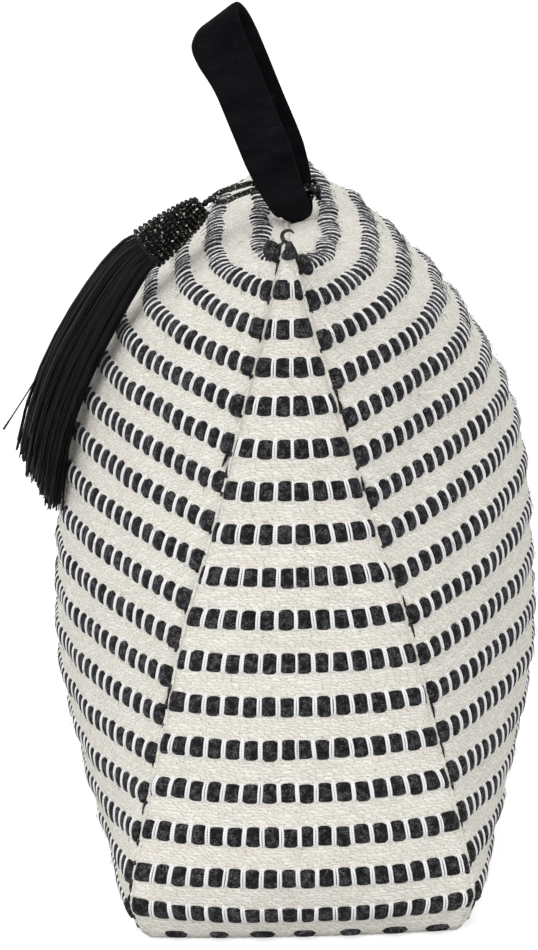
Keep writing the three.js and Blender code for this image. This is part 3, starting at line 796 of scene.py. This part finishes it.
def makeFuzz():
    # bowed hairs of three rings: each crosses its row at its own slant and rises over the yarn
    rng = np.random.default_rng(51)
    parts = []
    t = np.array([-0.5, 0.0, 0.5])
    arc = 1 - 4 * t * t
    n = fuzz["hairs"] // 2
    each = (n, 1)
    for side, heights in sideRows.items():
        weight = fuzz["least"] + (heights / peak) ** 3
        middle = rng.choice(heights, n, p=weight / weight.sum())[:, None]
        length = rng.uniform(fuzz["shortest"], fuzz["longest"], each)
        slant = rng.normal(0, 0.55, each)
        bow = rng.normal(0, 0.35, each) * arc
        place = rng.uniform(-0.985, 0.985, each) + (length * np.sin(slant) * t + bow) / fuzz["halfDepth"]
        place = np.clip(place, -0.99, 0.99)
        stretch = surfaceStretch("side", side, middle / peak, place)
        rise = length * np.cos(slant) * t + rng.normal(0, 1, each) * fuzz["spread"]
        v = np.clip((middle + rise / stretch) / peak, 0.01, 0.99)
        lift = rng.uniform(fuzz["low"], fuzz["high"], each) + 0.5 * arc + rng.normal(0, 0.25, (n, 3))
        centres = clothPoint("side", side, v, place, lift)
        out = panelOutward("side", side, v, place)
        across = unit(np.cross(unit(np.gradient(centres, axis=1)), out))
        radius = rng.uniform(fuzz["thinnest"], fuzz["thickest"], each) * np.array(fuzz["taper"])
        rings = sweep(centres, across, out, radius, radius, 3)
        parts.append(ringMesh(rings, middle[..., None], np.arange(n)[:, None, None] * 0.37))
    makePiece("yarn_fuzz", parts, blackWool)


makeFuzz()
print("fuzz made")


def pick(at, places, values):
    # the values between their places, for numbers or for points
    if values.ndim == 1:
        return np.interp(at, places, values)
    return np.stack([np.interp(at, places, column) for column in values.T], -1)


def pathThrough(points, count):
    # a centripetal Catmull-Rom curve: slopes weigh their neighbours by the root of their lengths
    p = np.array(points, float)
    p = np.concatenate([[2 * p[0] - p[1]], p, [2 * p[-1] - p[-2]]])
    gap = np.sqrt(np.linalg.norm(np.diff(p, axis=0), axis=1))[:, None]
    at = np.linspace(0, len(points) - 1, count + 1)
    i = np.minimum(at.astype(int), len(points) - 2)
    p0, p1, p2, p3 = p[i], p[i + 1], p[i + 2], p[i + 3]
    g0, g1, g2 = gap[i], gap[i + 1], gap[i + 2]
    m1 = ((p1 - p0) / g0 - (p2 - p0) / (g0 + g1) + (p2 - p1) / g1) * g1
    m2 = ((p2 - p1) / g1 - (p3 - p1) / (g1 + g2) + (p3 - p2) / g2) * g1
    return cubic((at - i)[:, None], p1, p2, m1, m2)


# Yarn at the near tip: a patch on the end panel, the sides' thick last dashes, and a curled yarn end
tip = {
    "patch": {"x": 0.8, "z": [244.2, 244.7, 246, 247.6, 249, 250.2],
              "half": [2.1, 2.9, 2.8, 2.3, 1.6, 0.9], "proud": 1.9},
    "knobs": [
        {"middle": (-5.2, -122.0, 246.6), "long": (-0.72, 0.69, 0.05), "out": (-0.69, -0.72, 0),
         "half": 3.5, "tall": 3.7, "thick": 2.1},
        {"middle": (6.3, -122.2, 241.6), "long": (0.45, 0.1, -0.88), "out": (0.6, -0.8, 0),
         "half": 4.0, "tall": 2.4, "thick": 1.5}],
    "curl": [(1.0, -126.2, 248.2), (0.3, -125.8, 249.4), (-0.7, -124.6, 250.3), (-1.5, -122, 251.2),
             (-1.2, -118.6, 252.2), (0.2, -116, 252.5), (1.7, -114.4, 252.1), (2.4, -113.8, 251.2)],
    "curlThick": 1.05, "curlThin": 0.35, "curlSteps": 40,
}


def makeTip():
    # the patch: flat ovals stacked up the panel; the knobs: ellipsoids of rings; the curl: a tapering tube
    turn = circle(14)
    plan = tip["patch"]
    z, half = np.array(plan["z"])[:, None], np.array(plan["half"])[:, None]
    x = plan["x"] + half * squared(np.cos(turn), 0.8)
    v = z / peak + 0 * x
    s = np.clip(x / smooth("halfWidth", v), -1, 1)
    y = clothPoint("end", -1, v, s, 0.2)[..., 1] - plan["proud"] * np.sin(turn) * (half / 2.5) ** 0.4
    thick = np.linspace(tip["curlThick"], tip["curlThin"], tip["curlSteps"] + 1)
    shapes = [np.stack([x, y, z + 0 * x], -1), tubeAlong(pathThrough(tip["curl"], tip["curlSteps"]), thick)]
    for plan in tip["knobs"]:
        along = unit(np.array(plan["long"]))
        up = unit(np.cross(plan["out"], along))
        level = np.linspace(0.12, np.pi - 0.12, 14)
        centres = np.array(plan["middle"]) + along * (np.cos(level) * plan["half"])[:, None]
        size = np.sin(level) ** 0.8
        shapes.append(sweep(centres, up, np.cross(along, up), size * plan["tall"], size * plan["thick"], 16))
    parts = [ringMesh(rings, rings[..., 0], rings[..., 2], rings[..., 1]) for rings in shapes]
    makePiece("tip_yarn", parts, blackWool)


makeTip()
print("tip made")

# The strap, doubled into a loop. Its points stand above the middle of the ridge.
strap = {
    "thick": 2.0, "width": 18.6, "footWidth": 14.2, "flare": 22, "lean": 20.6, "foot": 3.6, "sink": 4.2,
    "gather": 8.5, "slump": 4.3, "corner": 3.8, "slumpFrom": 46, "slumpTo": 76, "steps": 200, "sides": 28,
    "path": [
        (3.2, -1.9, 0), (1.4, -4.3, 3.4), (-2.4, -6.2, 11.9), (-7.4, -7.0, 25.4), (-13.6, -7.2, 41.9),
        (-20.2, -7.2, 59.4), (-23.2, -6.2, 67.4), (-24.9, -3.4, 73), (-24.2, 0.6, 75), (-21.6, 4.4, 72.6),
        (-18.4, 6.6, 66.4), (-15.6, 7.2, 59.4), (-9.0, 7.2, 41.9), (-2.6, 6.8, 25.4), (1.6, 5.6, 11.9),
        (3.0, 4.0, 3.4), (4.2, 1.9, 0)],
}


def makeStrap():
    # a flat section with rounded edges, carried along the loop with its width held across the lean
    start, end = strap["path"][0], strap["path"][-1]
    route = [(start[0] + 0.3, start[1] + 0.9, -strap["sink"]), *strap["path"],
             (end[0] + 0.1, end[1] - 0.9, -strap["sink"])]
    foot = ridgeTop + strap["foot"]
    line = pathThrough(np.array(route) + [0, 0, foot], strap["steps"])
    lean = math.radians(strap["lean"])
    along = unit(np.gradient(line, axis=0))
    across = np.array([math.cos(lean), 0, math.sin(lean)])
    wide = unit(across - along * (along @ across)[:, None])
    out = np.cross(wide, along)
    above = line[:, 2] - ridgeTop - strap["foot"]
    flare = np.clip(above / strap["flare"], 0, 1)
    width = strap["footWidth"] + (strap["width"] - strap["footWidth"]) * flare
    low = np.clip((line[:, 2] - ridgeTop) / strap["gather"], 0, 1)
    width = width * (0.30 + 0.70 * np.sqrt(1 - (1 - low) ** 2))
    length = runLength(line)[:, None]
    turn = circle(strap["sides"])
    flat, high = squared(np.cos(turn), 0.35), squared(np.sin(turn), 0.65)
    edge = np.abs(flat) ** 8
    wave = 0.22 * np.sin(length * 0.21 + flat * 2.2) + 0.12 * np.sin(length * 0.55 - flat * 3)
    thick = strap["thick"] / 2 * (1 + 0.16 * edge) * high
    rings = line[:, None] + wide[:, None] * (flat * width[:, None] / 2)[..., None]
    rings = rings + out[:, None] * (thick + wave * (1 - 0.5 * edge))[..., None]
    top = eased((above - strap["slumpFrom"]) / (strap["slumpTo"] - strap["slumpFrom"]))[:, None]
    left = np.clip((1 - flat * np.sign(wide[:, :1])) / 2, 0, 1)
    rings[..., 2] -= top * (strap["slump"] * left ** 1.8 + strap["corner"] * left ** 10)
    mesh = ringMesh(rings, flat * 9, length)
    makePiece("strap_loop", [mesh], blackVelvet, ["handle_strap"])


makeStrap()
print("strap made")

# Tassel: where its head hangs on the left side, and how its skirt falls
tassel = {
    "v": 0.939, "w": -0.363, "off": 17.9, "down": (-0.803, -0.017, -0.596), "length": 29.5,
    "shy": 3.0, "coreAt": [0, 0.08, 0.2, 0.5, 1], "core": [2.3, 3.1, 4.1, 5.5, 6.7], "coreGap": 0.35,
    "bead": 1.7, "coils": 14, "beadStep": 1.62, "beadLong": 0.84, "coilGrowth": 1.15,
    "skirtStart": 1.0, "tucked": 3.5, "straight": 4.2, "away": (-0.8, -0.3, 0.5),
    "route": [(0.807, -0.363, 14.4), (0.756, -0.353, 12.9), (0.685, -0.337, 12.6), (0.599, -0.319, 12),
              (0.517, -0.309, 10.8), (0.472, -0.306, 10.6)],
    "halfWidth": [7.4, 8.2, 9.8, 11.6, 12.2, 12.4, 11.8, 11.0],
    "halfThick": [7, 7.6, 8.6, 9.2, 9.4, 9.2, 8.8, 8.4], "fillShare": 0.72, "fillSteps": 48,
    "strands": 1300, "strand": 0.27, "steps": 12, "bunch": 10, "outerShort": 0.19, "fan": 0.20,
    "strays": 10, "strayWander": 1.8, "lone": [(-80, -42, 209), (-88, -42, 196), (-95.2, -42, 184.1),
                                               (-101.5, -42, 174.7), (-107.3, -42, 166.3)],
}


def panelPlace(v, w, off):
    # a point off the plain left side, as the CAD places it
    v, w = np.array([v], float), np.array([w], float)
    return (barePoint("side", -1, v, w) + panelOutward("side", -1, v, w) * off)[0]


headTop = panelPlace(tassel["v"], tassel["w"], tassel["off"])
headLine = unit(np.array(tassel["down"]))
headWide = unit(np.cross(headLine, np.array([0, 1.0, 0])))
headDeep = np.cross(headLine, headWide)


def beadRings(centres, axis, radius, half, rng):
    # round beads threaded along axis: six rings each, a little flatter than a ball
    side = unit(np.cross(axis, np.array([0.31, 0.52, 0.8])))
    other = np.cross(axis, side)
    angle = np.linspace(0.16, np.pi - 0.16, 6)
    turn = circle(8)
    ring = side[:, None, None] * np.cos(turn)[:, None] + other[:, None, None] * np.sin(turn)[:, None]
    along = axis[:, None, None] * (np.cos(angle) * half)[:, None, None]
    radius = radius[:, None, None, None]
    rings = centres[:, None, None] + ring * np.sin(angle)[:, None, None] * radius + along
    return ringMesh(rings, 0, 0, rng.random(len(centres))[:, None, None])


def makeHead():
    # a plain core, and beads at even steps along a coil that widens down it
    rng = np.random.default_rng(31)
    turn = np.linspace(0, tassel["coils"] * 2 * np.pi, 4000)
    t = (turn / turn[-1]) ** tassel["coilGrowth"]
    radius = np.interp(t, tassel["coreAt"], tassel["core"]) + tassel["coreGap"] + tassel["bead"] / 2
    ring = np.cos(turn)[:, None] * headWide + np.sin(turn)[:, None] * headDeep
    long = tassel["length"] - tassel["shy"]
    line = headTop + headLine * (tassel["shy"] + t * long * 0.99)[:, None] + ring * radius[:, None]
    length = runLength(line)
    centres = pick(np.arange(0, length[-1], tassel["beadStep"]), length, line)
    centres = centres + rng.normal(0, 0.05, centres.shape)
    axis = unit(np.gradient(centres, axis=0) + rng.normal(0, 0.10, centres.shape))
    size = tassel["bead"] / 2 * (1 + rng.normal(0, 0.06, len(centres)))
    beads = beadRings(centres, axis, size, tassel["beadLong"], rng)
    makePiece("head_beads", [beads], bronzeGlass, ["bead_sleeve"])
    t = np.linspace(0, 1, 16)
    middle = headTop + headLine * (tassel["shy"] + t * long)[:, None]
    radius = np.interp(t, tassel["coreAt"], tassel["core"])
    core = ringMesh(sweep(middle, headWide, headDeep, radius, radius, 24))
    makePiece("head_core", [core], coreThread, ["tassel_core"])


def makeSkirt():
    # bunches of strands in an oval section that follows the skirt's line, the outer ones shorter;
    # a plain core fills its upper part, and one strand strays far out
    rng = np.random.default_rng(32)
    top = headTop + headLine * (tassel["length"] + tassel["skirtStart"])
    route = [top - headLine * tassel["tucked"], top, top + headLine * tassel["straight"],
             *[panelPlace(*spot) for spot in tassel["route"]]]
    line = pathThrough(route, 70)
    along = unit(np.gradient(line, axis=0))
    wide = unit(np.cross(np.array(tassel["away"]), along))
    deep = np.cross(along, wide)
    t = np.linspace(-1, len(tassel["route"]) + 1, len(line))
    halfWide, halfDeep = [np.interp(t, np.arange(8), tassel[name]) * np.interp(t, [-1, 0], [0.8, 1])
                          for name in ("halfWidth", "halfThick")]
    n = tassel["strands"]
    bunch = np.arange(n) // tassel["bunch"]
    bunches = bunch[-1] + 1
    angle = rng.uniform(0, 2 * np.pi, bunches)[bunch]
    out = np.sqrt(rng.uniform(0.2, 0.78, bunches))[bunch]
    outer = (np.sin(angle) * out + 1) / 2
    short = np.abs(rng.normal(0, 0.04, bunches))[bunch] + np.abs(rng.normal(0, 0.008, n))
    reach = np.clip(0.995 - tassel["outerShort"] * outer - short, 0.6, 1.0)
    u = np.linspace(0, 1, tassel["steps"]) * reach[:, None]
    wander = rng.normal(0, 1, (bunches, 4, 1))[bunch]
    stray = wander[::n // tassel["strays"], :3]
    stray[:] = rng.normal(0, tassel["strayWander"], stray.shape)
    loose = rng.normal(0, 0.07, (n, 2, 1)) * (1 - 0.65 * u[:, None] ** 2)
    a, b = [(part * out)[:, None] + wander[:, i] * 0.10 * u ** 3
            + 0.03 * np.sin(u * pace + wander[:, i + 1] * 3) + loose[:, i // 2]
            for part, pace, i in ((np.cos(angle), 9, 0), (np.sin(angle), 8, 2))]
    b = b + tassel["fan"] * outer[:, None] ** 2 * u ** 5
    place, at = np.arange(len(line)), u * (len(line) - 1)
    sideways = pick(at, place, wide) * (a * pick(at, place, halfWide))[..., None]
    outwards = pick(at, place, deep) * (b * pick(at, place, halfDeep))[..., None]
    centres = pick(at, place, line) + sideways + outwards
    rings = tubeAlong(centres, tassel["strand"] * (1 - 0.45 * u ** 6), 4, (0.2, 0.9, 0.3))
    strands = ringMesh(rings, 0, 0, rng.random(n)[:, None, None])
    loneThick = np.interp(np.arange(25), [0, 20, 24], [0.3, 0.3, 0.5])
    lone = ringMesh(tubeAlong(pathThrough(tassel["lone"], 24), loneThick, 6), 0, 0, 0.2)
    keep, share = slice(0, tassel["fillSteps"]), tassel["fillShare"]
    core = sweep(line[keep], wide[keep], deep[keep], halfWide[keep] * share, halfDeep[keep] * share, 16)
    parts = [strands, ringMesh(core, circle(16), 0, 0.1), lone]
    makePiece("skirt_strands", parts, blackSilk, ["tassel_skirt"])


makeHead()
makeSkirt()
print("tassel made")

# The beaded cord: its ends at the tassel head, and its points above the middle of the ridge
beadCord = {
    "size": 2.2, "ahead": 1.1, "apart": 3.3, "step": 2.1, "rooted": 1.5, "turn": 8, "perBead": 7,
    "knot": {"beads": 16, "spread": [1.4, 1.8, 2.2], "shift": [-2.6, -2.0, 0.4], "bead": 1.2, "long": 1.05},
    "path": [
        (-24.6, -41.2, 18.3), (-20.5, -30, 17.8), (-15.6, -13, 16.2), (-13, -4.6, 15.4), (-9, -1, 14.4),
        (-3, 0, 13), (4, 0.2, 12), (10.5, 1.2, 11.4), (13.4, 5, 11.3), (11, 8.8, 11.3), (3, 9.4, 11.5),
        (-4, 8.8, 11.9), (-10.8, 3.4, 12), (-14.6, -8, 12.6), (-18.6, -21, 13.4), (-21.8, -35, 14.2),
        (-24.9, -44.4, 15.6)],
}


def makeCord():
    # one tube whose radius swells and shrinks with each bead that it threads, and beads knotted at its turn
    rng = np.random.default_rng(41)
    ahead = headTop - headLine * beadCord["ahead"]
    ends = [ahead + np.array([0, side * beadCord["apart"] / 2, 0]) for side in (1, -1)]
    inside = beadCord["ahead"] + tassel["shy"]
    roots = [end + headLine * (inside + beadCord["rooted"]) for end in ends]
    leave = ends[0] + headLine * inside
    path = np.array(beadCord["path"]) + [0, 0, ridgeTop]
    line = pathThrough([roots[0], ends[0], *path, ends[1], roots[1]], 900)
    length = runLength(line)
    beads = round(length[-1] / beadCord["step"])
    at = np.linspace(0, length[-1], beads * beadCord["perBead"] + 1)
    share = at / length[-1] * beads
    swell = np.abs(np.sin(np.pi * share)) ** 0.55
    radius = beadCord["size"] / 2 * (0.50 + 0.52 * swell)
    luck = rng.random(beads + 1)[np.minimum(share.astype(int), beads)]
    mesh = ringMesh(tubeAlong(pick(at, length, line), radius, 10), 0, 0, luck[:, None])
    piece = makePiece("bead_string", [mesh], bronzeGlass, ["bead_cord"])
    plan = beadCord["knot"]
    spots = path[beadCord["turn"]] + rng.normal(0, 1, (plan["beads"], 3)) * plan["spread"] + plan["shift"]
    axis = unit(rng.normal(0, 1, spots.shape))
    mesh = beadRings(spots, axis, np.full(len(spots), plan["bead"]), plan["long"], rng)
    knot = makePiece("bead_knot", [mesh], bronzeGlass)
    (leave * mm).tolist()
    (line[::6] * mm).tolist()


makeCord()
print("bead cord made")

# The pieces that stay as the CAD has them
kept = {
    "base_panel": baseCloth,
    "sand_pouch": plainCloth("pouch_cloth", (186, 172, 148), (140, 126, 102), 900),
    "wadding": plainCloth("wadding", (240, 239, 236), (208, 206, 202), 260),
}
for nodeName, material in kept.items():
    for place in nodes[nodeName].material_slots:
        place.material = material

# Floor, background and light. Powers are in watts, places in metres.
studio = {
    "floor": 12, "below": 0.0004, "floorShade": 0.62, "floorGlow": 0.64, "sky": 0.735,
    "rays": ("Camera", "Glossy", "Transmission"), "target": (0, 0, 0.14),
    "lamps": {
        "key": {"place": (-1.3, -1.8, 1.6), "size": 1.6, "power": 26.8},
        "fill": {"place": (1.5, -1.7, 0.9), "size": 1.4, "power": 9.8},
        "top": {"place": (0.2, 0.5, 2.0), "size": 1.6, "power": 5.6},
    },
}


def makeStudio():
    # a pale floor that glows a little for the eye alone, so that it is white and still takes the shadow
    half = studio["floor"] / 2
    mesh = bpy.data.meshes.new("floor")
    corners = [(-half, -half, 0), (half, -half, 0), (half, half, 0), (-half, half, 0)]
    mesh.from_pydata(corners, [], [(0, 1, 2, 3)])
    floor = linked("floor", mesh)
    floor.location.z = -studio["below"]
    f = Finish("floor_white")
    shade = studio["floorShade"]
    f.set(Base_Color=(shade, shade, shade, 1), Roughness=1, Specular_IOR_Level=0,
          Emission_Color=(1, 1, 1, 1), Emission_Strength=f.seen() * studio["floorGlow"])
    mesh.materials.append(f.owner)
    world = bpy.data.worlds.new("studio")
    bpy.context.scene.world = world
    sky = Finish("studio", world, "Background")
    level = sky.node("MapRange", {}, {"Value": sky.seen(), "To Min": studio["sky"], "To Max": 1})
    sky.set(Color=(1, 1, 1, 1), Strength=level)


def makeLamps():
    # square lamps turned to the middle of the bag
    for name, lamp in studio["lamps"].items():
        data = bpy.data.lights.new(name, "AREA")
        data.energy, data.size = lamp["power"], lamp["size"]
        back = unit(np.array(lamp["place"]) - studio["target"])
        right = unit(np.cross([0, 0, 1.0], back))
        stand(linked(name, data), lamp["place"], [right, np.cross(back, right), back])


makeStudio()
makeLamps()
bpy.context.scene.view_settings.view_transform = "Standard"
print("studio made")
